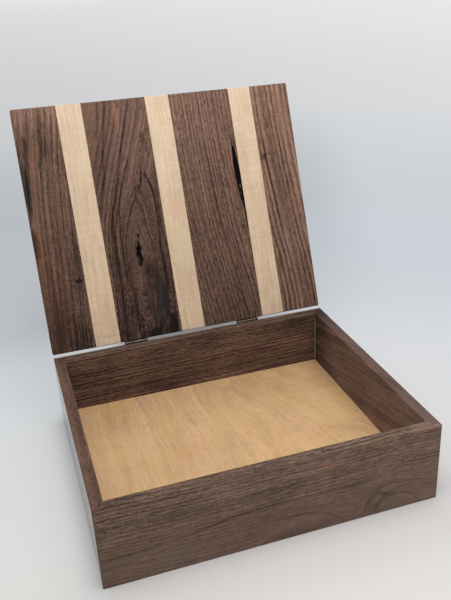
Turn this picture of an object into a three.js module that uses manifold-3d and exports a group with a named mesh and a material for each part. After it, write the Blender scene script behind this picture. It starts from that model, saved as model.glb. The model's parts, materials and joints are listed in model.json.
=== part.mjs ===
// A wooden keepsake box with a striped slab lid, standing open on two stop hinges.
// Four mitred walnut walls hold a plywood floor in a groove. The lid is four walnut boards and
// three maple strips, glued edge to edge, and each hinge is two leaves on a pin, let in flush.
// Millimetres. +X runs to the right along the front, +Y to the back, +Z up. The origin lies under
// the middle of the whole open box, on the surface that it stands on.

import * as THREE from "three";
import { mergeVertices, toCreasedNormals } from "three/addons/utils/BufferGeometryUtils.js";
import Module from "manifold-3d";

const wasm = await Module();
wasm.setup();

// Box
const boxWidth = 320;
const boxDepth = 268;
const boxHeight = 82.5;
const wallThickness = 11.1;
const cornerRadius = 1.5;
const edgeEasing = 0.8;
const mitreGlueLine = 0.03;

// Floor panel, held in a groove round the inside of the walls
const floorThickness = 6;
const floorRise = 12.7;
const grooveDepth = 5;
const panelPlay = 0.4;

// Lid
const lidLength = 269.5;
const lidThickness = 11.1;
const lidEdgeEasing = 1;
const lidCornerRadius = 1.8;
const boardWidths = [48.2, 71.9, 71.7, 46.8];
const stripWidths = [27.6, 27.3, 26.5];
const boardGlueLine = 0.06;
const lidGap = 0.4;
const openAngle = THREE.MathUtils.degToRad(111.3);

// Hinges
const hingeLength = 25.4;
const hingeCentre = 66.9;
const axisSetback = 1.9;
const barrelRadius = 1.8;
const boreRadius = 0.95;
const pinRadius = 0.85;
const pinHeadRadius = 1.4;
const pinHeadThickness = 0.5;
const leafReach = 7;
const leafThickness = 1;
const leafDepth = 2.6;
const heelThickness = 1.1;
const heelReach = 3.4;
const knuckleGap = 0.2;
const stopGap = 0.06;
const slotEndPlay = 0.1;
const slotPlay = 0.05;
const glueHoleRadius = 1;
const glueHoleSpread = 8;

const roundSides = 20;
const barrelSides = 32;

const walnut = new THREE.MeshStandardMaterial({ color: 0x6a5144, roughness: 0.55 });
const maple = new THREE.MeshStandardMaterial({ color: 0xe3cba3, roughness: 0.5 });
const birchPly = new THREE.MeshStandardMaterial({ color: 0xcda573, roughness: 0.6 });
const agedBronze = new THREE.MeshStandardMaterial({ color: 0x574a40, roughness: 0.45, metalness: 0.9 });

// Solids and meshes

function toSolid(geometry) {
  const bare = geometry.clone();
  bare.deleteAttribute("normal");
  bare.deleteAttribute("uv");
  const merged = mergeVertices(bare, 1e-4);
  const mesh = new wasm.Mesh({
    numProp: 3,
    vertProperties: new Float32Array(merged.attributes.position.array),
    triVerts: new Uint32Array(merged.index.array),
  });
  return new wasm.Manifold(mesh);
}

function toMesh(name, solid, material) {
  const { numProp, vertProperties, triVerts } = solid.getMesh();
  const geometry = new THREE.BufferGeometry();
  geometry.setAttribute("position", new THREE.BufferAttribute(vertProperties, numProp));
  geometry.setIndex(new THREE.BufferAttribute(triVerts, 1));
  const mesh = new THREE.Mesh(toCreasedNormals(geometry, Math.PI / 6), material);
  mesh.name = name;
  return mesh;
}

function block(x, y, z) {
  const size = [x, y, z].map(([low, high]) => high - low);
  const middle = [x, y, z].map(([low, high]) => (low + high) / 2);
  return toSolid(new THREE.BoxGeometry(...size).translate(...middle));
}

// A round piece about its own +Z axis: the profile is radius and height, from the foot up.
function turned(profile, sides = roundSides) {
  const points = profile.map(([radius, height]) => new THREE.Vector2(radius, height));
  return new THREE.LatheGeometry(points, sides).rotateX(Math.PI / 2);
}

function roundedRectangle(width, depth, radius) {
  const shape = new THREE.Shape();
  const x = width / 2 - radius;
  const y = depth / 2 - radius;
  shape.absarc(x, y, radius, 0, Math.PI / 2);
  shape.absarc(-x, y, radius, Math.PI / 2, Math.PI);
  shape.absarc(-x, -y, radius, Math.PI, 1.5 * Math.PI);
  shape.absarc(x, -y, radius, 1.5 * Math.PI, 2 * Math.PI);
  return shape;
}

// Walls

// The section of a wall: x is the distance in from the outer face and y is the height.
function wallSection() {
  const shape = new THREE.Shape();
  const ease = edgeEasing;
  const grooveFloor = wallThickness - grooveDepth;
  const grooveTop = floorRise + floorThickness;
  shape.absarc(ease, ease, ease, Math.PI, 1.5 * Math.PI);
  shape.lineTo(wallThickness, 0);
  shape.lineTo(wallThickness, floorRise);
  shape.lineTo(grooveFloor, floorRise);
  shape.lineTo(grooveFloor, grooveTop);
  shape.lineTo(wallThickness, grooveTop);
  shape.absarc(wallThickness - ease, boxHeight - ease, ease, 0, Math.PI / 2);
  shape.absarc(ease, boxHeight - ease, ease, Math.PI / 2, Math.PI);
  return shape;
}

// One wall along X with its outer face on y = 0. Each end is mitred: it draws back by as much as
// the material lies in from the outer face.
function mitredWall(length) {
  const options = { depth: 1, bevelEnabled: false, curveSegments: 3 };
  const geometry = new THREE.ExtrudeGeometry(wallSection(), options);
  const position = geometry.attributes.position;
  for (let i = 0; i < position.count; i++) {
    const inward = position.getX(i);
    const height = position.getY(i);
    const side = position.getZ(i) > 0.5 ? 1 : -1;
    position.setXYZ(i, side * (length / 2 - inward - mitreGlueLine), inward, height);
  }
  return geometry;
}

const cornerOutline = toSolid(
  new THREE.ExtrudeGeometry(roundedRectangle(boxWidth, boxDepth, cornerRadius), {
    depth: boxHeight,
    bevelEnabled: false,
    curveSegments: 3,
  }),
);

// A wall turned about the box's middle to its own side, with the box's upright corners rounded.
function wallSolid(length, reach, quarterTurns) {
  const geometry = mitredWall(length);
  geometry.translate(0, -reach, 0);
  geometry.rotateZ((quarterTurns * Math.PI) / 2);
  return toSolid(geometry).intersect(cornerOutline);
}

// Hinges

const axisHeight = boxHeight + lidGap / 2;
const leafTop = -leafDepth;
const leafBottom = leafTop - leafThickness;
const leafEnd = -axisSetback - leafReach;
const lipBack = -barrelRadius;
const lipFace = lipBack + leafThickness;

function rodAlongX(radius, from, to) {
  const profile = [
    [0, from],
    [radius, from],
    [radius, to],
    [0, to],
  ];
  return toSolid(turned(profile, barrelSides).rotateY(Math.PI / 2));
}

// One leaf about the middle of the pin, with its knuckle on the -X half. The plate goes level into
// the wood's slot. Outside the wood it turns up in a lip, which on one half rises to the barrel.
// The heel on the barrel, turned by the opening angle, is what meets the other leaf's lip.
function leafSolid() {
  const half = hingeLength / 2;
  const knuckleEnd = -knuckleGap / 2;
  const plate = block([-half, half], [leafEnd, lipFace], [leafBottom, leafTop]);
  const lip = block([-half, half], [lipBack, lipFace], [leafBottom, -barrelRadius]);
  const neck = block([-half, knuckleEnd], [lipBack, lipFace], [leafBottom, 0]);
  const heel = block(
    [-half, knuckleEnd],
    [lipFace + stopGap, lipFace + stopGap + heelThickness],
    [barrelRadius / 2, heelReach],
  ).rotate(-THREE.MathUtils.radToDeg(openAngle), 0, 0);
  const barrel = rodAlongX(barrelRadius, -half, knuckleEnd);
  const bore = rodAlongX(boreRadius, -half - 1, half + 1);
  const leaf = plate.add(lip).add(neck).add(heel).add(barrel).subtract(bore);
  return [-glueHoleSpread, 0, glueHoleSpread].reduce((solid, x) => {
    const hole = turned([
      [0, leafBottom - 1],
      [glueHoleRadius, leafBottom - 1],
      [glueHoleRadius, leafTop + 1],
      [0, leafTop + 1],
    ]);
    return solid.subtract(toSolid(hole.translate(x, -axisSetback - leafReach / 2, 0)));
  }, leaf);
}

// A pin along X with a small domed head at each end.
function pinSolid() {
  const inner = hingeLength / 2 + stopGap;
  const outer = inner + pinHeadThickness;
  const profile = [
    [0, -outer],
    [pinHeadRadius * 0.7, -outer],
    [pinHeadRadius, -inner - pinHeadThickness / 2],
    [pinHeadRadius, -inner],
    [pinRadius, -inner],
    [pinRadius, inner],
    [pinHeadRadius, inner],
    [pinHeadRadius, inner + pinHeadThickness / 2],
    [pinHeadRadius * 0.7, outer],
    [0, outer],
  ];
  return toSolid(turned(profile).rotateY(Math.PI / 2));
}

// The saw slot that takes a leaf, about the middle of the pin, open at the wood's back.
function leafSlot() {
  const half = hingeLength / 2 + slotEndPlay;
  return block(
    [-half, half],
    [leafEnd - slotEndPlay, 0],
    [leafBottom - slotPlay, leafTop + slotPlay],
  );
}

// Box assembly

const hingeSides = [
  { side: "left", x: -hingeCentre },
  { side: "right", x: hingeCentre },
];

const box = new THREE.Group();

const wallSlots = hingeSides.map(({ x }) =>
  leafSlot().translate(x, boxDepth / 2 + axisSetback, axisHeight),
);
const backWall = wallSlots.reduce(
  (wall, slot) => wall.subtract(slot),
  wallSolid(boxWidth, boxDepth / 2, 2),
);

box.add(
  toMesh("front_wall", wallSolid(boxWidth, boxDepth / 2, 0), walnut),
  toMesh("right_wall", wallSolid(boxDepth, boxWidth / 2, 1), walnut),
  toMesh("back_wall", backWall, walnut),
  toMesh("left_wall", wallSolid(boxDepth, boxWidth / 2, 3), walnut),
);

const floorReach = wallThickness - grooveDepth + panelPlay;
const floorPanel = block(
  [floorReach - boxWidth / 2, boxWidth / 2 - floorReach],
  [floorReach - boxDepth / 2, boxDepth / 2 - floorReach],
  [floorRise, floorRise + floorThickness],
);
box.add(toMesh("floor_panel", floorPanel, birchPly));

// Lid assembly, drawn closed about the pins' axis and then turned open

const lid = new THREE.Group();
lid.position.set(0, boxDepth / 2 + axisSetback, axisHeight);
lid.rotation.x = -openAngle;

const lidBack = -axisSetback;
const lidUnderside = lidGap / 2;
const lidBlank = toSolid(
  new THREE.ExtrudeGeometry(
    roundedRectangle(
      boxWidth - 2 * lidEdgeEasing,
      lidLength - 2 * lidEdgeEasing,
      lidCornerRadius - lidEdgeEasing,
    ),
    {
      depth: lidThickness - 2 * lidEdgeEasing,
      bevelThickness: lidEdgeEasing,
      bevelSize: lidEdgeEasing,
      bevelSegments: 3,
      curveSegments: 3,
    },
  ).translate(0, lidBack - lidLength / 2, lidUnderside + lidEdgeEasing),
);

// The slots in the lid are the box's, turned over about the pin's middle.
const lidSlots = hingeSides.map(({ x }) => leafSlot().rotate(0, 180, 0).translate(x, 0, 0));
const lidSlab = lidSlots.reduce((slab, slot) => slab.subtract(slot), lidBlank);

const lidPieces = [
  { name: "lid_board_1", width: boardWidths[0], material: walnut },
  { name: "lid_strip_1", width: stripWidths[0], material: maple },
  { name: "lid_board_2", width: boardWidths[1], material: walnut },
  { name: "lid_strip_2", width: stripWidths[1], material: maple },
  { name: "lid_board_3", width: boardWidths[2], material: walnut },
  { name: "lid_strip_3", width: stripWidths[2], material: maple },
  { name: "lid_board_4", width: boardWidths[3], material: walnut },
];

// Each piece is a slice of the slab, between two glue lines or a glue line and the lid's own edge.
let seam = -boxWidth / 2;
for (const { name, width, material } of lidPieces) {
  const from = Math.abs(seam) < boxWidth / 2 ? seam + boardGlueLine / 2 : seam;
  seam += width;
  const to = seam < boxWidth / 2 - boardGlueLine ? seam - boardGlueLine / 2 : boxWidth / 2;
  const slice = block(
    [from, to],
    [lidBack - lidLength, lidBack],
    [lidUnderside, lidUnderside + lidThickness],
  );
  lid.add(toMesh(name, lidSlab.intersect(slice), material));
}

// Hinge assembly: the same leaf serves both sides of a hinge, turned over for the lid

for (const { side, x } of hingeSides) {
  const boxLeaf = toMesh(`${side}_hinge_box_leaf`, leafSolid(), agedBronze);
  boxLeaf.position.set(x, boxDepth / 2 + axisSetback, axisHeight);
  box.add(boxLeaf);

  const pin = toMesh(`${side}_hinge_pin`, pinSolid(), agedBronze);
  pin.position.copy(boxLeaf.position);
  box.add(pin);

  const lidLeaf = toMesh(`${side}_hinge_lid_leaf`, leafSolid(), agedBronze);
  lidLeaf.rotation.y = Math.PI;
  lidLeaf.position.x = x;
  lid.add(lidLeaf);
}

const keepsakeBox = new THREE.Group();
keepsakeBox.add(box, lid);

// The open lid reaches far behind the walls, so the origin moves back to the middle of both.
const footprint = new THREE.Box3().setFromObject(keepsakeBox, true);
keepsakeBox.position.y = -(footprint.min.y + footprint.max.y) / 2;

export default keepsakeBox;
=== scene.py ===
import json
import math
import random

import bmesh
import bpy
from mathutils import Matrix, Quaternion, Vector


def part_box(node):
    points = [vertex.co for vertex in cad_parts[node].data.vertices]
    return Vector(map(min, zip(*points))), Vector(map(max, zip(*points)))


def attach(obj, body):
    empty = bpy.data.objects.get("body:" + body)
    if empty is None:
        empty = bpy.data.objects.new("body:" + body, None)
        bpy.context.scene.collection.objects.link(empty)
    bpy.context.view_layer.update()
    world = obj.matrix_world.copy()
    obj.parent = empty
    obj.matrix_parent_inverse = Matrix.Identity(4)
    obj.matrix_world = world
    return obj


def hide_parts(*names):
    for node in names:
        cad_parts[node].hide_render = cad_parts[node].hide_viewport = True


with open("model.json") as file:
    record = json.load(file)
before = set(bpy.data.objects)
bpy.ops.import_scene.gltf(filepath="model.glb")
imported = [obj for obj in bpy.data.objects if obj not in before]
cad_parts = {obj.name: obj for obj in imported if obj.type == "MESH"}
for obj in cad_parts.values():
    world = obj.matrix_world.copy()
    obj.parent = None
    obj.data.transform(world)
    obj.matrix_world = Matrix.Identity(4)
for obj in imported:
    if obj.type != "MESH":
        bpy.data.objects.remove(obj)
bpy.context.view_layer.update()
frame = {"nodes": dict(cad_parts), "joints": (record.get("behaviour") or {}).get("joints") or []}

scene = bpy.context.scene
mm = 0.001

# Sizes and places of the box are read from its own pieces, in metres.
frontLow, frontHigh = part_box("front_wall")
backLow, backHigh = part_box("back_wall")
rightLow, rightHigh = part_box("right_wall")
boxMiddle = Vector((0, (frontLow.y + backHigh.y) / 2, 0))
rimHeight = frontHigh.z
wallThickness = frontHigh.y - frontLow.y
joint = frame["joints"][0]
hingeAxis = Vector(joint["pos_m"])
openAngle = math.radians(joint["range_deg"][1])
lidReach = Vector((0, -math.cos(openAngle), math.sin(openAngle)))  # up the open lid from its hinges
lidOutward = Vector((0, lidReach.z, -lidReach.y))  # from the lid's underside to its outer face


# Shader maths. A Wire is a socket that can be written into an expression.
class Wire:
    def __init__(self, socket):
        self.socket = socket
        self.tree = socket.id_data

    # Adds any node: its settings come first, then the values or links of its sockets.
    def node(self, kind, settings=None, inputs=None, output=0):
        made = self.tree.nodes.new("ShaderNode" + kind)
        for name, value in (settings or {}).items():
            if name == "stops":
                setStops(made.color_ramp, value)
            elif name == "curve":
                setCurve(made.mapping, *value)
            else:
                setattr(made, name, value)
        for name, value in (inputs or {}).items():
            if isinstance(value, Wire):
                value.into(made.inputs[name])
            else:
                made.inputs[name].default_value = value
        return Wire(made.outputs[output])

    def into(self, socket):
        self.tree.links.new(self.socket, socket)

    def isVector(self):
        return self.socket.type in ("VECTOR", "RGBA")

    def maths(self, operation, first, second=0.0):
        vectors = any(isinstance(v, Wire) and v.isVector() for v in (first, second))
        if not vectors:
            return self.node("Math", {"operation": operation}, {0: first, 1: second})
        first, second = [(v,) * 3 if isinstance(v, (int, float)) else v for v in (first, second)]
        return self.node("VectorMath", {"operation": operation}, {0: first, 1: second})

    def __add__(self, other):
        return self.maths("ADD", self, other)

    __radd__ = __add__

    def __sub__(self, other):
        return self.maths("SUBTRACT", self, other)

    def __rsub__(self, other):
        return self.maths("SUBTRACT", other, self)

    def __mul__(self, other):
        return self.maths("MULTIPLY", self, other)

    def __truediv__(self, other):
        return self.maths("DIVIDE", self, other)

    def __abs__(self):
        return self.maths("ABSOLUTE", self)

    def root(self):
        return self.maths("SQRT", self)

    def lesser(self, other):
        return self.maths("MINIMUM", self, other)

    def greater(self, other):
        return self.maths("MAXIMUM", self, other)

    def exponent(self):
        return self.maths("EXPONENT", self)

    def dot(self, direction):
        return self.node("VectorMath", {"operation": "DOT_PRODUCT"}, {0: self, 1: direction}, "Value")

    # 0 below low and 1 above high, with a soft step between them.
    def step(self, low, high, start=0.0, end=1.0):
        settings = {"interpolation_type": "SMOOTHSTEP"}
        inputs = {"Value": self, "From Min": low, "From Max": high, "To Min": start, "To Max": end}
        return self.node("MapRange", settings, inputs)

    # A line through points (place, value), read at this wire and held level beyond its ends.
    def follow(self, points, handles="AUTO"):
        points = sorted(points)
        start, end = points[0][0], points[-1][0]
        low = min(value for place, value in points)
        rise = max(value for place, value in points) - low or 1.0
        share = ((self - start) * (1 / (end - start))).greater(0).lesser(1)
        curve = [((place - start) / (end - start), (value - low) / rise) for place, value in points]
        return self.node("FloatCurve", {"curve": (curve, handles)}, {"Value": share}) * rise + low

    def vector(self, x, y, z):
        return self.node("CombineXYZ", {}, {0: x, 1: y, 2: z})

    def noise(self, detail=2.0, roughness=0.5, scale=1.0):
        inputs = {"Scale": scale, "Detail": detail, "Roughness": roughness}
        if self.isVector():
            return self.node("TexNoise", {"noise_dimensions": "3D"}, {**inputs, "Vector": self})
        return self.node("TexNoise", {"noise_dimensions": "1D"}, {**inputs, "W": self})

    # Noise at a point of three coordinates, which makes a grain where they differ in scale.
    def grain(self, x, y, z, detail, roughness):
        return self.vector(x, y, z).noise(detail, roughness)

    def ramp(self, stops):
        return self.node("ValToRGB", {"stops": stops}, {0: self})

    # Colours: this one with a share of another laid over it.
    def mixed(self, other, share, blend="MIX"):
        settings = {"data_type": "RGBA", "blend_type": blend}
        return self.node("Mix", settings, {0: share, 6: self, 7: other}, 2)

    def shaded(self, amount):
        grey = self.vector(amount, amount, amount)
        return self.mixed(grey, 1.0, "MULTIPLY")


def setStops(ramp, stops):
    while len(ramp.elements) > 1:
        ramp.elements.remove(ramp.elements[-1])
    for index, (place, colour) in enumerate(stops):
        element = ramp.elements[0] if index == 0 else ramp.elements.new(place)
        element.position = place
        element.color = (*colour, 1.0)


def setCurve(mapping, points, handles):
    curve = mapping.curves[0]
    curve.points[0].location = points[0]
    curve.points[-1].location = points[-1]
    for place, value in points[1:-1]:
        curve.points.new(place, value)
    for point in curve.points:
        point.handle_type = handles
    mapping.update()


# A colour as it looks on screen, turned to the light values that shaders use.
def screen(red, green, blue):
    return tuple((c / 255 / 12.92) if c <= 10 else ((c / 255 + 0.055) / 1.055) ** 2.4
                 for c in (red, green, blue))


# Starts a material. Gives its main shader and the place of a point in millimetres.
def newMaterial(name):
    material = bpy.data.materials.new(name)
    material.use_nodes = True
    tree = material.node_tree
    shader = tree.nodes["Principled BSDF"]
    place = tree.nodes.new("ShaderNodeTexCoord")
    return material, shader, Wire(place.outputs["Object"]) * (1 / mm)


def finishShader(shader, colour, roughness, height, bumpDepth):
    colour.into(shader.inputs["Base Color"])
    roughness.into(shader.inputs["Roughness"])
    inputs = {"Height": height, "Distance": bumpDepth * mm, "Strength": 1.0}
    bump = colour.node("Bump", {}, inputs)
    bump.into(shader.inputs["Normal"])


# Where a point lies in a piece of wood: across the grain, along it and into it, in millimetres.
def woodPlace(place, origin, across, along, inward):
    point = place - tuple(c / mm for c in origin)
    return point.dot(tuple(across)), point.dot(tuple(along)), point.dot(tuple(inward))


# A soft spot on a face: its middle and half sizes, across and along, and how far it leans.
def patch(middle, size, depth=0.0, lean=0.0, core=0.1):
    return dict(middle=middle, size=size, depth=depth, lean=lean, core=core)


# A spot of another colour, as it looks on screen, with its share at the middle.
def stain(middle, size, colour, share, lean=0.0):
    return dict(patch(middle, size, lean=lean), colour=screen(*colour), share=share)


# A line along the grain: its points (along, across), its width there, all the same or as points
# too, and over how far it fades at its ends. A negative depth makes it lighter than the wood.
def line(path, width, depth, fade=8, soft=1.6):
    return dict(path=path, width=width, depth=depth, fade=fade, soft=soft)


# Three colours whose hues the wood wanders between.
def hueRange(low, middle, high, spread=0.14):
    return [(0.5 - spread, screen(*low)), (0.5, screen(*middle)), (0.5 + spread, screen(*high))]


walnutLook = dict(
    stops=[
        (0, screen(22, 15, 11)),
        (0.2, screen(46, 33, 26)),
        (0.4, screen(75, 56, 46)),
        (0.6, screen(103, 80, 67)),
        (0.8, screen(131, 104, 89)),
        (1, screen(156, 128, 111)),
    ],
    # the wood's hue wanders between tan, plain brown and rosy
    hues=hueRange((114, 87, 71), (110, 84, 71), (112, 83, 75)),
    hueShare=0.85,
    tone=0.51,
    gloss=0.1,
    roughness=(0.46, 0.64),
    bump=0.12,
    relief=dict(fibres=0.4, streaks=0.3, ripple=0.15, pores=-0.8, rows=-0.2),
    # how far each kind of mark fades in places
    fading=dict(lines=0.65, veins=0.4, patches=0.5),
)
# Layers of noise: how fast they change across, along and into the wood, their detail and roughness.
# The first ones bend with the growth lines.
walnutGrain = dict(
    bands=(0.21, 0.004, 0, 2, 0.6),
    streaks=(0.4, 0.016, 0.3, 3, 0.66),
    dashes=(0.7, 0.09, 0.6, 2, 0.6),
    fibres=(1.3, 0.15, 1.1, 2, 0.6),
)
walnutClouds = dict(
    ripple=(0.1, 0.4, 0.08, 3, 0.65),
    cloud=(0.035, 0.016, 0.03, 3, 0.55),
    speck=(0.6, 0.45, 0.5, 3, 0.7),
)
noiseRange = (0.3, 0.7)  # where a noise mostly lies
# How strongly each kind of mark shows in the wood, unless a piece says otherwise.
walnutMarks = dict(
    broad=0.35, bands=0.3, rows=0.2, rowSpacing=4.8, streaks=0.5, dashes=0.4, fibres=0.8, pores=0.24,
    ripple=0.3, cloud=0.45, speck=0.45,
)
# One growth row across its width: slowly darker to a thin late line, then pale again.
rowProfile = [(0, -0.4), (0.3, -0.1), (0.66, 0.3), (0.79, 1), (0.9, 0.3), (1, -0.4)]
softRows = [(0, -0.6), (0.2, -0.4), (0.45, 0), (0.62, 0.7), (0.78, 0.9), (0.92, 0.2), (1, -0.6)]


def grainLayers(across, along, inward, table, seed=0):
    return {
        name: across.grain(across * wide + seed, along * long, inward * deep, detail, roughness)
        for name, (wide, long, deep, detail, roughness) in table.items()
    }


# The sum of layers of noise, each about its middle and with its own share.
def blend(layers, shares):
    return sum((layer - 0.5) * shares[name] for name, layer in layers.items())


# The height of a surface, from those of its layers that are named.
def relief(layers, shares):
    return sum(layers[name] * share for name, share in shares.items())


# How much a line covers at a point. It is sharper on its left side than on its right.
def vein(across, along, look):
    path, width, fade = look["path"], look["width"], look["fade"]
    start = min(place for place, value in path)
    end = max(place for place, value in path)
    if isinstance(width, list):
        width = along.follow(width)
    aside = across - along.follow(path)
    left = aside.step(width * -1, width * -0.1)
    right = aside.step(width * look["soft"], width * 0.1)
    return left * right * along.step(start - fade, start + fade) * along.step(end + fade, end - fade)


# How much a patch covers at a point: 1 at its core and 0 outside it.
def cover(across, along, look):
    x, y = look["middle"]
    a, b = look["size"]
    aside = (across - x - (along - y) * look["lean"]) * (1 / a)
    upward = (along - y) * (1 / b)
    return (aside * aside + upward * upward).step(1, look["core"])


# An amount with patches taken off it.
def patched(amount, across, along, patches):
    for look in patches:
        amount = amount - cover(across, along, look) * look["depth"]
    return amount


# A colour with stains laid over it, everywhere or only as far as a share.
def stained(colour, across, along, stains, within=1.0):
    for look in stains:
        share = cover(across, along, look) * (within * look["share"])
        colour = colour.mixed((*look["colour"], 1), share)
    return colour


# Growth lines at chosen places over the rings: each is (place, depth, half width).
def growthLines(rings, lines):
    points = [(lines[0][0] - 12, 0)]
    for place, depth, half in lines:
        points += [(place - half * 1.3, 0), (place, depth), (place + half * 0.8, depth * -0.2),
                   (place + half * 2, 0)]
    points.append((lines[-1][0] + 12, 0))
    return rings.follow(points, "VECTOR")


# The whole figure of a piece of walnut, as one amount that is added to its tone.
def walnutFigure(across, along, rings, look):
    uneven = across.grain(across * 0.05 + look["seed"], along * 0.02, 3.7, 2, 0.6).step(0.3, 0.62)
    kept = {kind: uneven * share + (1 - share) for kind, share in walnutLook["fading"].items()}
    # painted light and shade: the tone rises and falls along the piece as its light does
    figure = along.follow(look.get("drift", [(0, 0), (1, 0)]))
    if "lines" in look:
        lines = growthLines(rings, look["lines"]) * kept["lines"]
        if "calmSpot" in look:
            lines = lines * (1 - cover(across, along, look["calmSpot"]))
        figure = figure - lines
    for veinLook in look.get("veins", ()):
        figure = figure - vein(across, along, veinLook) * kept["veins"] * veinLook["depth"]
    for patchLook in look["patches"]:
        figure = figure - cover(across, along, patchLook) * kept["patches"] * patchLook["depth"]
    return figure


# Walnut. The rings are millimetres across the growth lines. The shaken place lies a little aside of
# the true one, so that no mark is too even. The edges' marks and the hollows are optional.
def walnutFinish(shader, spot, shaken, rings, look, edges=None, hollow=None):
    across, along, inward = spot
    marks = {**walnutMarks, **look["marks"]}
    seed = look["seed"]
    flow = (rings + seed) * (1 / look.get("size", 1))
    layers = {
        "broad": (flow * 0.06 + along * 0.0015).noise(2, 0.5),
        **grainLayers(flow, along, inward, walnutGrain),
        **grainLayers(across, along, inward, walnutClouds, seed),
    }
    jagged = across.grain(across * 0.16, along * 0.13, seed, 3, 0.6)
    phase = (flow + (flow * 0.05).noise() * 9 + (jagged - 0.5) * 3.2) * (1 / marks["rowSpacing"])
    rows = phase.maths("FRACT", phase).follow(look.get("rowProfile", rowProfile), "VECTOR")
    rowDepth = across.grain(flow * 0.06, along * 0.012, 7.1, 2, 0.6).step(0.25, 0.65)
    rowMarks = rows * (rowDepth * 0.8 + 0.3)
    if "plainHeart" in look:
        rowMarks = rowMarks * rings.step(*look["plainHeart"])
    pores = across.grain(flow * 1.7, along * 0.22, inward * 1.5, 1, 0.5).step(0.55, 0.72)
    texture = blend(layers, marks) - rowMarks * marks["rows"] - pores * marks["pores"]
    if "contrast" in look:
        texture = texture * along.follow(look["contrast"])
    if "contrastAcross" in look:
        texture = texture * across.follow(look["contrastAcross"])
    figure = walnutFigure(shaken, along, rings, look)
    if edges is not None:
        figure = figure + edges
    amount = texture + figure + (walnutLook["tone"] + look["tone"])
    hue = across.grain(flow * 0.07, along * 0.012, 2.3, 2, 0.6).ramp(look.get("hues", walnutLook["hues"]))
    colour = amount.ramp(walnutLook["stops"]).mixed(hue, walnutLook["hueShare"], "COLOR")
    colour = stained(colour, shaken, along, look["tints"])
    roughness = layers["fibres"].step(*noiseRange, *walnutLook["roughness"]) + pores * 0.15
    if hollow is not None:
        # painted shade: the hollow of a crack is painted near black
        colour = colour.mixed((*hollowLook["colour"], 1), hollow)
        colour = stained(colour, across, along, look["flecks"], hollow)
        roughness = roughness + hollow * 0.5
    height = relief({**layers, "pores": pores, "rows": rows}, walnutLook["relief"])
    shader.inputs["Specular IOR Level"].default_value = walnutLook["gloss"]
    finishShader(shader, colour, roughness, height, walnutLook["bump"])


def addObject(name, data):
    made = bpy.data.objects.new(name, data)
    scene.collection.objects.link(made)
    return made


# Adds a camera or a lamp at its place, looking at its aim, both measured from the box's middle.
def addAimed(name, data, look):
    made = addObject(name, data)
    made.location = boxMiddle + Vector(look["place"])
    towards = boxMiddle + Vector(look["aim"]) - made.location
    roll = Quaternion(towards, math.radians(look.get("roll", 0)))
    made.rotation_mode = "QUATERNION"
    made.rotation_quaternion = roll @ towards.to_track_quat("-Z", "Y")
    return made


print("scene: frame read, making the camera and the light")

# The camera stands where the photograph was taken from, measured from the middle of the box.
viewpoint = dict(
    place=(-0.1869, -0.6212, 0.4834),
    aim=(0.0613, 0.1566, 0.1047),
    roll=2.57,
    focalPixels=753.7,
    imageSize=(451, 600),
    centreOffset=(10.9, -2.3),  # of the lens axis from the picture's middle, right and down
)


def makeCamera(look):
    data = bpy.data.cameras.new("photoView")
    longSide = max(look["imageSize"])
    data.sensor_width = 36
    data.lens = look["focalPixels"] * data.sensor_width / longSide
    data.shift_x = -look["centreOffset"][0] / longSide
    data.shift_y = look["centreOffset"][1] / longSide
    data.clip_start, data.clip_end = 0.02, 40
    scene.camera = addAimed("photoView", data, look)


makeCamera(viewpoint)

scene.view_settings.view_transform = "Standard"

studio = dict(
    backdrop=screen(230, 230, 231),  # what the camera sees far away
    skyColour=(1, 1, 1),
    sky=dict(all=0.22, front=0.12, left=0.45, right=0.1),
    lamps=dict(
        overhead=dict(place=(0.1, -0.22, 0.98), aim=(0, 0, 0.1), size=0.7, power=8.0),
    ),
)


# Picks the rays by which things are seen. What they show gives the scene no light of its own.
def seenFar(tree):
    rays = tree.nodes.new("ShaderNodeLightPath").outputs
    seen = Wire(rays["Is Camera Ray"])
    for kind in ("Is Glossy Ray", "Is Transmission Ray"):
        seen = seen.greater(Wire(rays[kind]))
    return seen


def mixShaders(tree, share, first, second):
    mix = tree.nodes.new("ShaderNodeMixShader")
    share.into(mix.inputs[0])
    tree.links.new(first.outputs[0], mix.inputs[1])
    tree.links.new(second.outputs[0], mix.inputs[2])
    return mix.outputs[0]


def makeSky(look):
    world = bpy.data.worlds.new("studio")
    scene.world = world
    world.use_nodes = True
    tree = world.node_tree
    light = tree.nodes["Background"]
    light.inputs["Color"].default_value = (*look["skyColour"], 1)
    way = Wire(tree.nodes.new("ShaderNodeTexCoord").outputs["Generated"])
    sky = look["sky"]
    strength = (
        sky["all"]
        + way.dot((0, -1, 0)).greater(0) * sky["front"]
        + way.dot((-1, 0, 0)).greater(0) * sky["left"]
        + way.dot((1, 0, 0)).greater(0) * sky["right"]
    )
    strength.into(light.inputs["Strength"])
    seen = tree.nodes.new("ShaderNodeBackground")
    seen.inputs["Color"].default_value = (*look["backdrop"], 1)
    mixed = mixShaders(tree, seenFar(tree), light, seen)
    tree.links.new(mixed, tree.nodes["World Output"].inputs["Surface"])


def makeLamps(look):
    for name, lamp in look["lamps"].items():
        data = bpy.data.lights.new(name, "AREA")
        data.size = lamp["size"]
        data.energy = lamp["power"]
        addAimed(name, data, lamp)


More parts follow.
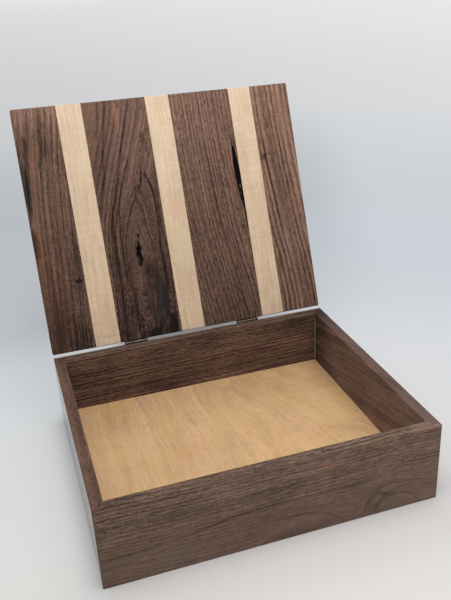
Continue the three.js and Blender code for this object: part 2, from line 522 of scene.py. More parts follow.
# The pale floor. Its places are in metres from the middle of the box, and each pair of them says
# where something starts and where it is full.
floorLook = dict(
    halfSize=30,
    front=screen(224, 221, 217),
    back=screen(229, 232, 237),
    frontToBack=(-0.25, 0.3),
    roughness=0.8,
    gloss=0.2,
    # a little darker close to the box
    closeAcross=(0.26, 0.14),
    closeAlong=(0.23, 0.14),
    closeShade=0.13,
    # the sweep as it is seen further off, and its colour there, whose darker and paler bands are painted
    # light and shade of the backdrop
    sweepStarts=(0.2, 0.75),
    sweep=[
        (0.35, screen(206, 211, 216)),
        (0.6, screen(199, 206, 212)),
        (0.9, screen(198, 203, 208)),
        (1.3, screen(202, 206, 209)),
        (1.8, screen(209, 211, 213)),
        (2.6, screen(215, 216, 217)),
        (4.5, screen(223, 223, 224)),
        (9, screen(230, 230, 231)),
    ],
    # brighter to the right and a little darker to the left, until both meet the backdrop
    rightMost=0.65,
    rightPlace=(0.9, 2.6),
    rightLight=(0.1, 0.24),
    leftPlace=(1.2, 2.6),
    leftShade=0.08,
    evenAgain=(12, 5),
    # the open lid's soft shade, which reaches back and to the left
    lidSlant=0.42,
    lidEdge=(0.26, 0.08),
    lidEnd=(2.2, 0.9),
    lidShade=0.15,
    # close behind the lid it isn't painted: there the lamp's own shadow shows
    shelterRight=(0.14, 0.32),
    shelterLeft=(0.1, 0.22),
    shelterEnd=(0.5, 0.8),
    # light on the floor close to the box's left side
    sideEdge=(0.136, 0.183),
    sideTurn=0.13,  # from here to the back it draws away from the box
    sideSlant=0.6,
    sideBackEnd=(0.5, 0.25),
    sideFrontEnd=(-0.24, -0.1),
    sideEnd=(0.85, 0.45),
    sideShare=0.74,
    sideFront=screen(228, 225, 221),
    sideBack=screen(212, 216, 219),
    sideFrontToBack=(-0.3, 0.3),
)


def makeFloor(look):
    mesh = bpy.data.meshes.new("studioFloor")
    half = look["halfSize"]
    corners = [(-half, -half, 0), (half, -half, 0), (half, half, 0), (-half, half, 0)]
    mesh.from_pydata(corners, [], [(0, 1, 2, 3)])
    addObject("studioFloor", mesh)
    material, shader, place = newMaterial("paleFloor")
    tree = material.node_tree
    place = place * mm - tuple(boxMiddle)
    x, y = place.dot((1, 0, 0)), place.dot((0, 1, 0))
    distance = (x * x + y * y).root()
    colour = y.step(*look["frontToBack"]).ramp([(0, look["front"]), (1, look["back"])])
    close = abs(x).step(*look["closeAcross"]) * abs(y).step(*look["closeAlong"])
    colour = colour.shaded(1 - close * look["closeShade"])
    colour.into(shader.inputs["Base Color"])
    shader.inputs["Roughness"].default_value = look["roughness"]
    shader.inputs["Specular IOR Level"].default_value = look["gloss"]
    farthest = look["sweep"][-1][0]
    stops = [((metres / farthest) ** 0.5, tone) for metres, tone in look["sweep"]]
    sweep = (distance * (1 / farthest)).root().ramp(stops)
    rightward = (x / distance).greater(0).lesser(look["rightMost"])
    amount = rightward * distance.step(*look["rightPlace"], *look["rightLight"])
    amount = amount - distance.step(*look["leftPlace"]) * look["leftShade"]
    amount = amount * distance.step(*look["evenAgain"]) + 1
    lidShade = (x - y * look["lidSlant"]).step(*look["lidEdge"]) * distance.step(*look["lidEnd"])
    amount = amount - lidShade * look["lidShade"]
    aside = (0 - x) + (y - look["sideTurn"]).greater(0) * look["sideSlant"]
    side = aside.step(*look["sideEdge"]) * y.step(*look["sideBackEnd"]) * y.step(*look["sideFrontEnd"])
    side = side * distance.step(*look["sideEnd"])
    sideTone = y.step(*look["sideFrontToBack"]).ramp([(0, look["sideFront"]), (1, look["sideBack"])])
    sweep = sweep.shaded(amount).mixed(sideTone, side)
    # the far floor glows in these painted tones, for the camera and reflections only
    glow = tree.nodes.new("ShaderNodeEmission")
    sweep.into(glow.inputs["Color"])
    clear = x.step(*look["shelterRight"]).greater((0 - x).step(*look["shelterLeft"]))
    clear = clear.greater(distance.step(*look["shelterEnd"]))
    away = distance.step(*look["sweepStarts"]) * clear
    away = away.greater(side * look["sideShare"]) * seenFar(tree)
    mixed = mixShaders(tree, away, shader, glow)
    tree.links.new(mixed, tree.nodes["Material Output"].inputs["Surface"])
    mesh.materials.append(material)


makeSky(studio)
makeLamps(studio)
makeFloor(floorLook)


def dress(piece, material):
    piece.data.materials.clear()
    piece.data.materials.append(material)


# The lid's own places: across it, up from its hinge edge, and in from its underside's plane.
lidEdge = 1.9 * mm  # from the hinge axis to the lid's hinge edge
lidFace = 0.2  # millimetres from the hinge axis's plane to the lid's underside
lidOrigin = hingeAxis + lidReach * lidEdge


def lidSpot(place):
    return woodPlace(place, lidOrigin, Vector((1, 0, 0)), lidReach, lidOutward)


print("scene: walnut and maple of the lid")

# Places on the boards are millimetres across the lid and up it from the hinges.
boardLooks = {}
# Each board's tone ramp up the lid is painted shade towards the hinges and painted light towards the top.
boardLooks["lid_board_1"] = dict(
    seed=11, tone=0.04, wobble=2.6,
    marks=dict(rowSpacing=5.6, rows=0.16, broad=0.45, fibres=0.62, dashes=0.32, pores=0.18),
    contrast=[(0, 1.2), (100, 1.1), (200, 0.95), (262, 0.95)],
    flow=[(0, -21), (40, -18), (80, -16), (120, -14), (170, -11), (205, -8), (240, -3), (262, 0)],
    drift=[(0, -0.11), (40, -0.07), (90, 0), (200, 0.08), (262, 0.3)],
    lines=[
        (-158, 0.26, 1.2), (-153, 0.3, 1.4), (-143, 0.14, 1.6), (-136, 0.2, 1.2),
        (-124, 0.26, 1.5), (-117, 0.2, 1.2), (-111, 0.28, 1.5), (-103, 0.24, 1.6), (-96, 0.2, 1.4),
    ],
    veins=[
        line([(0, -152), (40, -149), (80, -147), (120, -145), (170, -142), (205, -139), (220, -136),
              (240, -134), (268, -131)],
             [(0, 6.5), (45, 5), (70, 1.7), (120, 1.1), (190, 1.5), (215, 4.4), (262, 3.4)], 0.3),
        line([(150, -157), (190, -155), (215, -151), (240, -147), (268, -143)],
             [(150, 1.5), (215, 3.6), (262, 2)], 0.26),
        line([(0, -140), (60, -136), (120, -133), (180, -130), (268, -122)], 1, 0.12),
    ],
    patches=[
        patch((-157, 122), (4.6, 20), 0.34, core=0.3),
        patch((-158, 188), (4.4, 28), 0.3, core=0.3, lean=0.05),
        patch((-152, 226), (4, 18), 0.26, lean=0.1),
        patch((-140, 150), (3, 90), -0.1, lean=0.06),
        patch((-118.5, 76), (4.6, 3.2), 0.42, core=0.4),
        patch((-126, 79), (6, 1.3), 0.2),
        patch((-130, 20), (22, 28), 0.08),
        patch((-148, 235), (2.2, 36), -0.2, lean=0.12),
        patch((-122, 158), (14, 1.2), 0.05),
        patch((-128, 124), (16, 1.2), 0.05),
    ],
    tints=[
        stain((-150, 160), (5, 110), (134, 90, 66), 0.3, lean=0.09),
        stain((-146, 70), (20, 90), (96, 64, 48), 0.3),
        stain((-158.5, 183), (2.6, 22), (66, 66, 74), 0.35),
    ],
)
boardLooks["lid_board_2"] = dict(
    seed=37, tone=-0.02, wobble=4, plainHeart=(7, 15),
    loop=dict(
        middle=[(0, -50), (30, -48), (100, -47), (120, -46.5), (143, -43), (168, -38), (190, -31),
                (220, -20), (262, -6)],
        heart=96, up=4.3, down=8.2, rightward=0.78, reach=82, calm=(26, 30),
    ),
    drift=[(0, -0.12), (30, -0.07), (70, 0.02), (120, 0.05), (180, 0.1), (262, 0.18)],
    marks=dict(rowSpacing=6.2, rows=0.13, fibres=0.5, streaks=0.34, dashes=0.24, cloud=0.35),
    lines=[
        (5.6, 0.1, 0.6), (9, 0.24, 0.7), (12.2, 0.14, 0.7), (14.8, 0.32, 0.9), (18, 0.16, 0.8),
        (21.6, 0.2, 0.9), (26.4, 0.16, 1.3), (30, 0.22, 0.9), (34, 0.3, 1), (38.6, 0.18, 0.9),
        (43.6, 0.28, 1), (49, 0.16, 1), (55, 0.18, 1),
    ],
    contrast=[(0, 1.65), (50, 1.6), (105, 1.1), (180, 0.85), (262, 0.6)],
    calmSpot=patch((-43, 56), (17, 36), core=0.6),
    veins=[
        line([(0, -77), (40, -75), (80, -74), (120, -72.5), (135, -71), (165, -62), (200, -52), (220, -47),
              (240, -41), (268, -31)], [(0, 1.6), (60, 3), (120, 3.8), (150, 2.2), (262, 1.4)], 0.3),
        line([(140, -84), (150, -81), (180, -74), (205, -70), (230, -66), (268, -58)], 1.8, 0.2),
        line([(225, -74), (268, -66)], 1.6, 0.2),
        line([(48, -22), (60, -21.5), (100, -21), (140, -19.5), (155, -19.5), (170, -22), (184, -26)],
             [(40, 2.6), (110, 2.4), (150, 2.1), (184, 1.7)], 0.32, fade=4),
        line([(142, -19.5), (155, -19.5), (170, -22), (184, -26)], 1.4, 0.2, fade=6),
        line([(172, -33.5), (180, -31), (189, -29)], 1.4, 0.36, fade=3),
        line([(138, -51), (150, -47), (160, -41.5), (168, -37), (173, -33.5)], 1.3, 0.22, fade=3),
        line([(60, -63), (100, -65), (140, -62), (160, -58), (180, -52), (200, -43)], 1.2, 0.24),
        line([(20, -66), (60, -68), (120, -68.5), (160, -63)], 1, -0.16),
    ],
    patches=[
        patch((-37, 52), (15, 38), 0.25, core=0.3),
        patch((-25.5, 38), (4.6, 22), 0.5, core=0.3),
        patch((-31, 16), (5, 16), 0.4, lean=0.5),
        patch((-21, 8), (6, 17), 0.5, core=0.3),
        patch((-27, 26), (2.2, 12), -0.26, lean=0.35),
        patch((-33, 36), (1.6, 15), -0.16, lean=0.3),
        patch((-40, 58), (1.8, 14), 0.16, lean=-0.1),
        patch((-46, 44), (2.2, 18), 0.12, lean=-0.12),
        patch((-40, 78), (5, 14), 0.16),
        patch((-38, 3), (15, 8), 0.34),
        patch((-22, 225), (4, 9), 0.2),
        patch((-47, 255), (4, 16), -0.16),
        patch((-46.8, 97), (4.6, 18), 0.3, core=0.3),
        patch((-44.6, 116.2), (2.2, 3.4), 0.4),
    ],
    flecks=[
        stain((-46.8, 87), (3, 6.5), (40, 31, 15), 0.8),
        stain((-46.4, 108), (3, 5), (52, 36, 30), 0.7),
        stain((-44.6, 116), (3, 4), (62, 24, 16), 0.8),
    ],
    tints=[
        stain((-49.8, 97), (2.2, 8), (50, 50, 56), 0.5),
        stain((-34, 44), (18, 42), (56, 47, 46), 0.42),
        stain((-47, 104), (13, 42), (76, 62, 55), 0.35),
        stain((-30, 205), (14, 26), (108, 92, 84), 0.2, lean=-0.5),
        stain((-44.7, 115.6), (2.2, 4), (70, 26, 18), 0.5),
        stain((-47.5, 250), (4, 20), (150, 100, 70), 0.35),
    ],
)
boardLooks["lid_board_3"] = dict(
    seed=71, tone=0.1, size=0.85, wobble=1.6,
    flow=[(5, 22), (40, 17), (80, 11), (120, 6), (180, 2), (220, 0.5), (262, 0)],
    drift=[(0, -0.12), (60, -0.05), (140, 0), (262, 0.14)],
    marks=dict(rowSpacing=5.4, rows=0.27, broad=0.16, bands=0.12, streaks=0.28, cloud=0.35),
    lines=[
        (14, 0.13, 1), (28, 0.2, 1), (38, 0.12, 0.9), (49, 0.26, 1.1), (66, 0.2, 1.1),
        (76, 0.12, 0.9),
    ],
    hues=hueRange((113, 87, 73), (111, 85, 72), (112, 83, 74)),
    veins=[
        line([(199, 81), (208, 80.2), (222, 79.6)], 0.8, 0.3, fade=4),
        line([(104, 85.2), (116, 85.5), (128, 85.6)], 1.1, 0.45, fade=4),
    ],
    patches=[
        patch((80, 109), (1.8, 3.2), 0.32),
        patch((83, 208), (2.6, 9), 0.2),
        patch((82.5, 165), (3.4, 44), 0.26, core=0.3),
        patch((80.5, 90), (1.6, 34), -0.12, lean=-0.12),
    ],
    flecks=[
        stain((84.6, 156), (1.3, 3.4), (92, 94, 72), 0.7),
        stain((84.2, 147), (1.2, 6), (60, 44, 24), 0.7),
        stain((84.6, 135), (1.4, 6), (70, 66, 60), 0.6),
    ],
    tints=[
        stain((75, 175), (4, 34), (132, 82, 62), 0.3),
        stain((68, 175), (3, 5), (98, 92, 96), 0.3),
    ],
)
boardLooks["lid_board_4"] = dict(
    seed=93, tone=0.22, size=1.1, wobble=2,
    flow=[(20, 17), (60, 14), (100, 9), (150, 5), (200, 1.5), (262, 0)],
    drift=[(0, -0.08), (60, -0.04), (140, 0), (262, 0.06)],
    rowProfile=softRows,
    marks=dict(rowSpacing=5.7, rows=0.22, broad=0.25, bands=0.14, streaks=0.28, fibres=0.5, pores=0.14,
               cloud=0.35),
    lines=[
        (101, 0.14, 1.2), (107, 0.22, 1.5), (113, 0.14, 1.2), (119, 0.18, 1.4), (129, 0.3, 1.8),
        (134, 0.12, 1), (139, 0.3, 1.5), (145, 0.14, 1.2), (151, 0.2, 1.4), (157, 0.14, 1.1),
    ],
    veins=[line([(95, 128.5), (126, 126), (170, 122), (205, 120)], 2, 0.26)],
    patches=[
        patch((118, 186), (4.2, 5), 0.34),
        patch((127, 189), (10, 1.6), 0.12),
        patch((119, 57), (4.4, 16), 0.3),
    ],
    tints=[
        stain((155, 20), (3, 6), (134, 72, 52), 0.4),
        stain((155, 45), (2, 3), (134, 72, 52), 0.4),
        stain((148, 235), (11, 34), (150, 112, 98), 0.3),
    ],
)


# Rings of loops round a heart: pointed arches above it and rounded ones below, which calm down
# into plain lines along the board further out.
def loopRings(across, along, loop):
    aside = across - along.follow(loop["middle"])
    side = aside.greater(0) * loop["rightward"] + (0 - aside).greater(0)
    calmAbove, calmBelow = loop["calm"]
    above = (along - loop["heart"]).greater(0).lesser(loop["reach"]) * (1 / loop["up"])
    arches = side + above * (side * (-1 / calmAbove)).exponent()
    below = (loop["heart"] - along).greater(0) * (1 / loop["down"])
    below = below * (side * side * (-1 / calmBelow ** 2)).exponent()
    return arches.greater((side * side + below * below).root())


# A closed skin over rows of points, with a cap at each end.
def addSkin(mesh, rows):
    for first, second in zip(rows, rows[1:]):
        for index in range(len(first)):
            after = (index + 1) % len(first)
            mesh.faces.new((first[index], first[after], second[after], second[index]))
    mesh.faces.new(rows[0][::-1])
    mesh.faces.new(rows[-1])


def addMesh(name, mesh):
    data = bpy.data.meshes.new(name)
    mesh.to_mesh(data)
    mesh.free()
    return addObject(name, data)


# Two boards carry a natural crack, cut into them: outlines across the lid and up it.
hollowLook = dict(
    # near black inside the cracks: painted shade of the hollows
    colour=screen(13, 10, 9),
    depth=2.6,
    flare=[(-1, 1.06), (0.2, 1), (0.9, 0.9), (1.9, 0.72), (2.6, 0.3)],  # depth and width there
    sway=(0.25, 0.3),  # how rough the outline is, across and along
    widths=(0.94, 1.06),
)
crackLooks = dict(
    lid_board_2=[
        [(-45.5, 111.6), (-44.7, 108), (-44.6, 104.6), (-43.2, 102), (-43.6, 100.4), (-45, 99.2),
         (-45.1, 96), (-44.9, 94), (-43.4, 91.8), (-42.9, 89), (-44.2, 86), (-45.4, 84.4), (-45.9, 82.6),
         (-47.4, 81.2), (-49, 82.6), (-49.1, 85.2), (-47.5, 87.4), (-48.9, 89.8), (-47.7, 92.4),
         (-49.8, 93), (-50.6, 96), (-49.5, 99.4), (-49.2, 103), (-47.9, 105), (-46.8, 108.6)],
        [(-44.6, 118.2), (-43.2, 116.6), (-44.1, 114.4), (-45, 112.8), (-45.3, 115), (-45.8, 116.8)],
    ],
    lid_board_3=[
        [(81.9, 203.5), (83.8, 201), (84.3, 194), (84.8, 187), (85.6, 180), (86.3, 172), (87.2, 165),
         (87.2, 154), (87.2, 145), (87.2, 136), (87.2, 130), (85.6, 126.4), (84.1, 131), (82.7, 137),
         (81.9, 143), (81.3, 150), (80.4, 158), (79.8, 166), (79.4, 175), (79.5, 184), (80.1, 192),
         (80.4, 199)],
    ],
)


# Where a board is hollow: below its face, inside the reach of its cracks.
def hollowAt(across, along, inward, outlines):
    total = None
    for outline in outlines:
        acrosses, alongs = zip(*outline)
        inside = (across.step(min(acrosses) - 1.2, min(acrosses) - 1)
                  * across.step(max(acrosses) + 1.2, max(acrosses) + 1)
                  * along.step(min(alongs) - 1.5, min(alongs) - 1.2)
                  * along.step(max(alongs) + 1.5, max(alongs) + 1.2))
        total = inside if total is None else total.greater(inside)
    deepest = hollowLook["depth"]
    below = inward.step(lidFace + 0.01, lidFace + 0.16)
    return total * below * inward.step(deepest + 0.6, deepest + 0.3)


def boardMaterial(node, look, outlines):
    material, shader, place = newMaterial(node + "_walnut")
    across, along, inward = lidSpot(place)
    seed = look["seed"]
    wander = across.grain(across * 0.03 + seed, along * 0.018, inward * 0.02, 3, 0.55)
    shaken = across + (wander - 0.5) * look["wobble"]
    if "loop" in look:
        rings = loopRings(shaken, along, look["loop"])
    else:
        rings = shaken - along.follow(look["flow"])
    rings = rings + inward * 0.35
    hollow = hollowAt(across, along, inward, outlines) if outlines else None
    walnutFinish(shader, (across, along, inward), shaken, rings, look, None, hollow)
    return material


def lidPoint(across, along, inward):
    point = lidOrigin + Vector((1, 0, 0)) * (across * mm) + lidReach * (along * mm)
    return point + lidOutward * (inward * mm)


# The shape that is cut out of a board: the outline carried inward, narrower and rougher as it goes.
def crackCutter(plainOutline, seed):
    rough = random.Random(seed)
    swayAcross, swayAlong = hollowLook["sway"]
    outline = []
    nextPoints = plainOutline[1:] + plainOutline[:1]
    for (across, along), (nextAcross, nextAlong) in zip(plainOutline, nextPoints):
        outline.append((across, along))
        for share in (0.33, 0.67):
            outline.append((across + (nextAcross - across) * share + rough.uniform(-swayAcross, swayAcross),
                            along + (nextAlong - along) * share + rough.uniform(-swayAlong, swayAlong)))
    middleAcross = sum(across for across, along in outline) / len(outline)
    middleAlong = sum(along for across, along in outline) / len(outline)
    mesh = bmesh.new()
    rows = []
    for depth, width in hollowLook["flare"]:
        row = []
        for across, along in outline:
            share = width * rough.uniform(*hollowLook["widths"])
            across = middleAcross + (across - middleAcross) * share
            along = middleAlong + (along - middleAlong) * (1 - (1 - share) * 0.35)
            row.append(mesh.verts.new(lidPoint(across, along, lidFace + depth)))
        rows.append(row)
    addSkin(mesh, rows)
    bmesh.ops.recalc_face_normals(mesh, faces=mesh.faces)
    bmesh.ops.triangulate(mesh, faces=mesh.faces)
    return addMesh("crackCutter", mesh)


# A board with its cracks cut in, standing for the plain board of the frame.
def crackedBoard(node, outlines):
    piece = addObject(node + "_cracked", frame["nodes"][node].data.copy())
    cutters = [crackCutter(outline, index + 1) for index, outline in enumerate(outlines)]
    for cutter in cutters:
        cut = piece.modifiers.new("crack", "BOOLEAN")
        cut.operation = "DIFFERENCE"
        cut.solver = "EXACT"
        cut.object = cutter
    view = bpy.context.evaluated_depsgraph_get()
    data = bpy.data.meshes.new_from_object(piece.evaluated_get(view))
    piece.modifiers.clear()
    piece.data = data
    for cutter in cutters:
        bpy.data.objects.remove(cutter)
    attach(piece, "lid")
    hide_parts(node)
    return piece


for node, look in boardLooks.items():
    outlines = crackLooks.get(node)
    material = boardMaterial(node, look, outlines)
    dress(crackedBoard(node, outlines) if outlines else frame["nodes"][node], material)

mapleLook = dict(
    stops=[
        (0, screen(168, 141, 113)),
        (0.35, screen(193, 167, 139)),
        (0.6, screen(208, 182, 153)),
        (1, screen(229, 204, 176)),
    ],
    grain=dict(
        lines=(0.35, 0.008, 0.35, 4, 0.62),
        flecks=(1.1, 0.16, 1.1, 2, 0.55),
        hairs=(1.8, 0.03, 1.5, 2, 0.6),
    ),
    clouds=dict(
        ripple=(0.05, 0.22, 0.05, 3, 0.65),
        cloud=(0.03, 0.022, 0.03, 2, 0.5),
    ),
    marks=dict(lines=0.75, flecks=0.5, hairs=0.75, ripple=0.42, cloud=0.45),
    relief=dict(lines=1, flecks=0.4, ripple=0.3),
    # painted shade towards the hinges and painted light towards the top
    drift=[(0, -0.05), (262, 0.05)],
    roughness=(0.42, 0.56),
    bump=0.05,
)
stripLooks = dict(
    lid_strip_1=dict(seed=17, tone=0, patches=[patch((-98, 9.5), (16, 1.6), 0.16)]),
    lid_strip_2=dict(seed=34, tone=0.02, patches=[
        patch((2.5, 142), (9, 20), 0.1),
        patch((3, 60), (14, 40), 0.08),
    ], tints=[
        stain((5, 141), (15, 13), (206, 168, 138), 0.5),
        stain((4, 92), (14, 34), (198, 182, 150), 0.6),
    ]),
    lid_strip_3=dict(seed=51, tone=0, patches=[patch((102, 9), (5, 12), 0.14)]),
)


def dressStrip(node, look):
    material, shader, place = newMaterial(node + "_maple")
    across, along, inward = lidSpot(place)
    seed = look["seed"]
    bend = (along * 0.008 + seed).noise(2, 0.5)
    flow = across + (bend - 0.5) * 7 + seed
    layers = {
        **grainLayers(flow, along, inward, mapleLook["grain"]),
        **grainLayers(across, along, inward, mapleLook["clouds"], seed),
    }
    # the tone ramp up the strip is painted shade and light
    amount = blend(layers, mapleLook["marks"]) + (0.5 + look["tone"]) + along.follow(mapleLook["drift"])
    amount = patched(amount, across, along, look["patches"])
    colour = stained(amount.ramp(mapleLook["stops"]), across, along, look.get("tints", ()))
    roughness = layers["lines"].step(*noiseRange, *mapleLook["roughness"])
    finishShader(shader, colour, roughness, relief(layers, mapleLook["relief"]), mapleLook["bump"])
    dress(frame["nodes"][node], material)


for node, look in stripLooks.items():
    dressStrip(node, look)

print("scene: walls and floor of the box")

# Places on the walls are millimetres up from the table and along the wall from its middle.
wallLooks = {}
wallLooks["front_wall"] = dict(
    seed=5, along=(1, 0, 0), inward=(0, 1, 0), tone=0.16, size=0.9, wobble=5,
    # painted light: the wall grows brighter to the right
    drift=[(-160, 0), (0, 0.01), (160, 0.07)],
    marks=dict(rowSpacing=4, rows=0.2, broad=0.2, bands=0.2, streaks=0.42, dashes=0.35, fibres=0.66,
               pores=0.22, cloud=0.3, speck=0.22, ripple=0.1),
    hues=hueRange((108, 88, 74), (106, 86, 74), (107, 85, 76)),
    rim=-0.14, sheen=0.12, contrastAcross=[(0, 0.6), (34, 0.66), (46, 1.05), (83, 1.25)],
    domes=[
        dict(middle=106, reach=26, rise=24, fall=17),
        dict(middle=30, reach=42, rise=20, fall=12),
        dict(middle=-70, reach=60, rise=-6, fall=30),
    ],
    veins=[
        line([(-165, 29), (-120, 30.5), (-83, 33), (-60, 36.5), (-27, 41), (53, 41), (80, 40)], 1.2, 0.17,
             soft=3, fade=14),
        line([(-30, 25), (10, 30), (45, 26), (70, 18)], 4, 0.08),
        line([(-10, 24), (20, 23), (38, 19), (52, 12), (62, 3), (66, -3)], 2.2, 0.13),
        line([(81, -3), (84, 8), (88, 17), (99, 24)], 3.2, 0.22, soft=3, fade=3),
        line([(93, -3), (96, 8), (102, 15), (114, 18)], 2.6, 0.2, soft=3, fade=3),
        line([(108, 19), (124, 17), (134, 10), (142, -3)], 2.4, 0.1, fade=6),
        line([(70, -3), (75, 14), (84, 25), (98, 30), (118, 31), (140, 27), (164, 20)], 2.4, 0.1, fade=3),
        line([(110, 24), (135, 25), (150, 20), (164, 10)], 1.6, 0.1),
    ],
    patches=[
        patch((21.8, 104), (2.2, 5.5), 0.32, core=0.15),
        patch((17, 105), (7, 9), 0.07),
        patch((8, 92), (12, 9), 0.08),
        patch((4, 20), (4, 36), 0.12),
        patch((60, -20), (3, 26), 0.1),
    ],
    tints=[
        stain((84, 146), (3.5, 24), (156, 126, 110), 0.35),
        stain((70, 45), (3.2, 18), (150, 104, 78), 0.3),
        stain((62, -28), (7, 16), (98, 90, 88), 0.15),
        stain((12, 108), (14, 10), (98, 92, 86), 0.3),
        stain((15, -98), (9, 24), (104, 94, 92), 0.25),
    ],
)
wallLooks["back_wall"] = dict(
    seed=23, along=(1, 0, 0), inward=(0, 1, 0), tone=0.075, size=0.85, wobble=4,
    # painted shade: darker towards both corners
    drift=[(-150, -0.06), (-110, 0), (100, 0), (150, -0.1)],
    marks=dict(rowSpacing=3.6, rows=0.4, broad=0.25, bands=0.4, streaks=0.8, dashes=0.25, speck=0.25,
               ripple=0.12, fibres=0.8),
    hues=hueRange((108, 86, 72), (106, 83, 71), (107, 80, 71)),
    slope=0.02, rim=-0.04, contrastAcross=[(0, 1), (40, 1), (81.4, 1), (82.5, 0.75)],
    patches=[patch((28, -40), (12, 110), 0.08), patch((70, 120), (14, 24), 0.1)], tints=[],
)
wallLooks["left_wall"] = dict(
    seed=47, along=(0, 1, 0), inward=(1, 0, 0), tone=0.06, size=0.95, wobble=5,
    sheen=0.85, contrastAcross=[(0, 1), (40, 1), (81.4, 1), (82.5, 0.65)],
    marks=dict(rowSpacing=4.4, rows=0.16, bands=0.3, streaks=0.4, speck=0.25, ripple=0.14),
    patches=[], tints=[],
)
wallLooks["right_wall"] = dict(
    seed=61, along=(0, 1, 0), inward=(1, 0, 0), tone=0.16, size=1.2, wobble=6, slope=-0.2,
    # painted shade: darker towards the back
    drift=[(-125, 0.07), (-20, 0.03), (60, -0.03), (95, -0.12), (123, -0.26)],
    hues=hueRange((106, 89, 79), (106, 86, 78), (108, 83, 78)),
    rim=-0.12, contrastAcross=[(0, 1), (40, 1), (81.4, 1), (82.5, 0.55)],
    marks=dict(rowSpacing=6.5, rows=0.09, broad=0.4, streaks=0.4, dashes=0.2, fibres=0.4, speck=0.2,
               ripple=0.1, pores=0.14),
    patches=[patch((62, 100), (16, 34), 0.1)],
    tints=[
        stain((72, 80), (10, 12), (140, 96, 86), 0.25),
        stain((46, -42), (5, 9), (150, 100, 74), 0.3),
    ],
)
# Marks at a wall's edges, with their reach in millimetres. They are full just inside the edge.
full = 0.1
outerSheen = dict(reach=0.4, share=0.6, roughness=0.06)
mitreLook = dict(reach=0.5, depth=0.3)
# a painted highlight along the rim's edges: its reach and how much paler; and the reach of the rim's top
# tone
rimEdges = dict(reach=0.9, lift=0.05, topReach=0.5)


def dressWall(node, look):
    material, shader, place = newMaterial(node + "_walnut")
    spot = woodPlace(place, boxMiddle, (0, 0, 1), look["along"], look["inward"])
    across, along, inward = spot
    seed = look["seed"]
    wander = across.grain(across * 0.03 + seed, along * 0.011, inward * 0.03, 3, 0.55)
    shaken = across + (wander - 0.5) * look["wobble"]
    rings = shaken + inward * 0.5 - along * look.get("slope", 0)
    for dome in look.get("domes", ()):
        off = (along - dome["middle"]) * (1 / dome["reach"])
        arch = (off * off).step(1.6, 0)
        rings = rings - arch * (across * (-1 / dome["fall"])).exponent() * dome["rise"]
    # a dark glue line in each mitre, and a painted highlight along the rim's edges
    sideways = (rightHigh.x / mm) - abs(place.dot((1, 0, 0)))
    endways = (boxMiddle.y - frontLow.y) / mm - abs((place - (0, boxMiddle.y / mm, 0)).dot((0, 1, 0)))
    mitre = abs(sideways - endways).step(mitreLook["reach"], full)
    outer = sideways.lesser(endways)
    highlightReach, inner, rim = rimEdges["reach"], wallThickness / mm, rimHeight / mm
    edge = outer.step(highlightReach, full).greater(outer.step(inner - highlightReach, inner - full))
    edgeHighlight = edge * across.step(rim - highlightReach, rim - full)
    top = across.step(rim - rimEdges["topReach"], rim - full) * look.get("rim", 0)
    edges = edgeHighlight * rimEdges["lift"] + top - mitre * mitreLook["depth"]
    walnutFinish(shader, spot, shaken, rings, look, edges)
    # the outer faces are polished: seen along them they mirror the pale table
    sheen = outer.step(outerSheen["reach"], full) * look.get("sheen", outerSheen["share"])
    sheen.into(shader.inputs["Coat Weight"])
    shader.inputs["Coat Roughness"].default_value = outerSheen["roughness"]
    dress(frame["nodes"][node], material)


for node, look in wallLooks.items():
    dressWall(node, look)

plyLook = dict(
    stops=[
        (0, screen(156, 114, 72)),
        (0.35, screen(187, 147, 102)),
        (0.6, screen(206, 168, 123)),
        (1, screen(228, 196, 155)),
    ],
    hues=hueRange((205, 168, 118), (206, 168, 123), (207, 166, 128), 0.12),
    tints=[
        stain((-57, -3), (13, 9), (214, 164, 104), 0.45),
        stain((-100, 106), (22, 14), (192, 150, 96), 0.35),
        stain((72, -26), (50, 18), (220, 170, 124), 0.35),
    ],
    hueShare=0.7,
    marks=dict(bands=0.32, lines=0.42, fibres=0.52, ripple=0.14, mottle=0.3,
              cloud=0.28, speck=0.45),
    relief=dict(fibres=1, lines=0.5),
    threads=0.16,
    # painted shade: darker towards the back wall
    drift=[(-124, 0.08), (20, 0.08), (70, -0.02), (124, -0.12)],  # paler to the front
    back=123,  # where the growth lines start to fan out, from the middle of the floor
    fan=0.9,
    fanAcross=(-30, 90),
    roughness=(0.45, 0.6),
    bump=0.05,
    patches=[
        patch((-52, -5), (14, 9), 0.12),
        patch((110, -25), (46, 20), 0.1),
        patch((40, 95), (36, 26), 0.07),
        patch((-100, 30), (34, 36), -0.08),
        patch((-20, 25), (26, 22), -0.08),
        patch((138, 60), (14, 60), 0.06),
        patch((7.9, -6.6), (1.1, 1.76), 0.5),  # two small knots
        patch((142.9, 1.2), (1.4, 2.24), 0.5),
    ],
)


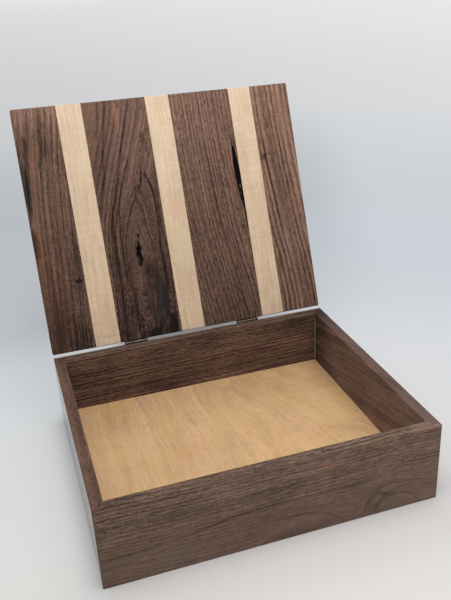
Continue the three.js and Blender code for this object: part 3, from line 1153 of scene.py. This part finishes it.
def dressFloor(node, look):
    material, shader, place = newMaterial("birch_plywood")
    across, along, inward = woodPlace(place, boxMiddle, (1, 0, 0), (0, 1, 0), (0, 0, 1))
    wander = across.grain(across * 0.014, along * 0.01, 0.5, 2, 0.5)
    forward = (look["back"] - along) * (1 / look["back"])
    fan = across.step(*look["fanAcross"]) * forward * look["fan"] + 1
    rings = across / fan + (wander - 0.5) * 22
    layers = {
        "bands": across.grain(rings * 0.11, along * 0.002, 0.3, 3, 0.6),
        "lines": across.grain(rings * 0.45, along * 0.01, inward, 3, 0.6),
        "fibres": across.grain(rings * 1.1, along * 0.09, inward, 2, 0.6),
        "ripple": across.grain(across * 0.12, along * 0.4, 2.5, 3, 0.65),
        "mottle": across.grain(across * 0.07, along * 0.07, 1.5, 3, 0.55),
        "cloud": across.grain(across * 0.02, along * 0.018, inward * 0.03, 3, 0.55),
        "speck": across.grain(across * 0.9, along * 0.5, inward, 2, 0.6),
    }
    threads = across.grain(rings * 0.24, along * 0.006, 9.2, 2, 0.7).step(0.6, 0.68)
    # the tone ramp along the floor is painted shade towards the back
    amount = blend(layers, look["marks"]) + threads * look["threads"] + along.follow(look["drift"])
    amount = patched(amount + 0.5, across, along, look["patches"])
    hue = across.grain(rings * 0.03, along * 0.012, 4.4, 3, 0.6).ramp(look["hues"])
    colour = amount.ramp(look["stops"]).mixed(hue, look["hueShare"], "COLOR")
    colour = stained(colour, across, along, look["tints"])
    roughness = layers["fibres"].step(*noiseRange, *look["roughness"])
    finishShader(shader, colour, roughness, relief(layers, look["relief"]), look["bump"])
    dress(frame["nodes"][node], material)


dressFloor("floor_panel", plyLook)

# A thin line of dried glue in the inner corner at the back right.
beadLook = dict(
    foot=20,  # millimetres above the table
    top=80.5,
    radius=0.42,
    radiusRange=(0.12, 0.546),
    unevenness=0.09,
    seed=5,
    colour=screen(176, 168, 166),
    darker=0.6,
    roughness=(0.25, 0.45),
    bump=0.03,
    sides=8,
    rings=60,
)


def makeBead(name, look):
    rough = random.Random(look["seed"])
    thinnest, thickest = look["radiusRange"]
    corner = Vector((rightLow.x, backLow.y, 0))
    mesh = bmesh.new()
    rows = []
    radius = look["radius"]
    for step in range(look["rings"] + 1):
        height = look["foot"] + (look["top"] - look["foot"]) * step / look["rings"]
        radius += rough.uniform(-look["unevenness"], look["unevenness"])
        radius = min(max(radius, thinnest), thickest)
        ends = min(step, look["rings"] - step, 3) / 3
        row = []
        for side in range(look["sides"]):
            turn = 2 * math.pi * side / look["sides"]
            reach = radius * (0.3 + 0.7 * ends)
            x, y = (math.cos(turn) - 0.5) * reach, (math.sin(turn) - 0.5) * reach
            row.append(mesh.verts.new(corner + Vector((x * mm, y * mm, height * mm))))
        rows.append(row)
    addSkin(mesh, rows)
    bead = addMesh(name, mesh)
    bead.data.shade_smooth()
    material, shader, place = newMaterial("dried_glue")
    cloud = place.noise(2, 0.5, 0.6)
    darker = tuple(c * look["darker"] for c in look["colour"])
    colour = cloud.ramp([(0.3, darker), (0.6, look["colour"])])
    finishShader(shader, colour, cloud.step(*noiseRange, *look["roughness"]), cloud, look["bump"])
    bead.data.materials.append(material)
    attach(bead, "box")


makeBead("corner_glue_bead", beadLook)

print("scene: hinges")

bronzeLook = dict(
    colour=screen(38, 33, 30),
    edgeHighlight=screen(98, 88, 80),
    metallic=0.9,
    roughness=(0.5, 0.32),
    bump=0.03,
)


def dressHinges(look):
    material, shader, place = newMaterial("aged_bronze")
    patina = place.noise(3.0, 0.6, 0.8)
    colour = patina.step(0.35, 0.7).ramp([(0, look["colour"]), (1, look["edgeHighlight"])])
    roughness = patina.step(*noiseRange, *look["roughness"])
    shader.inputs["Metallic"].default_value = look["metallic"]
    finishShader(shader, colour, roughness, patina, look["bump"])
    for node in frame["nodes"]:
        if "hinge" in node:
            dress(frame["nodes"][node], material)


dressHinges(bronzeLook)

print("scene: done")
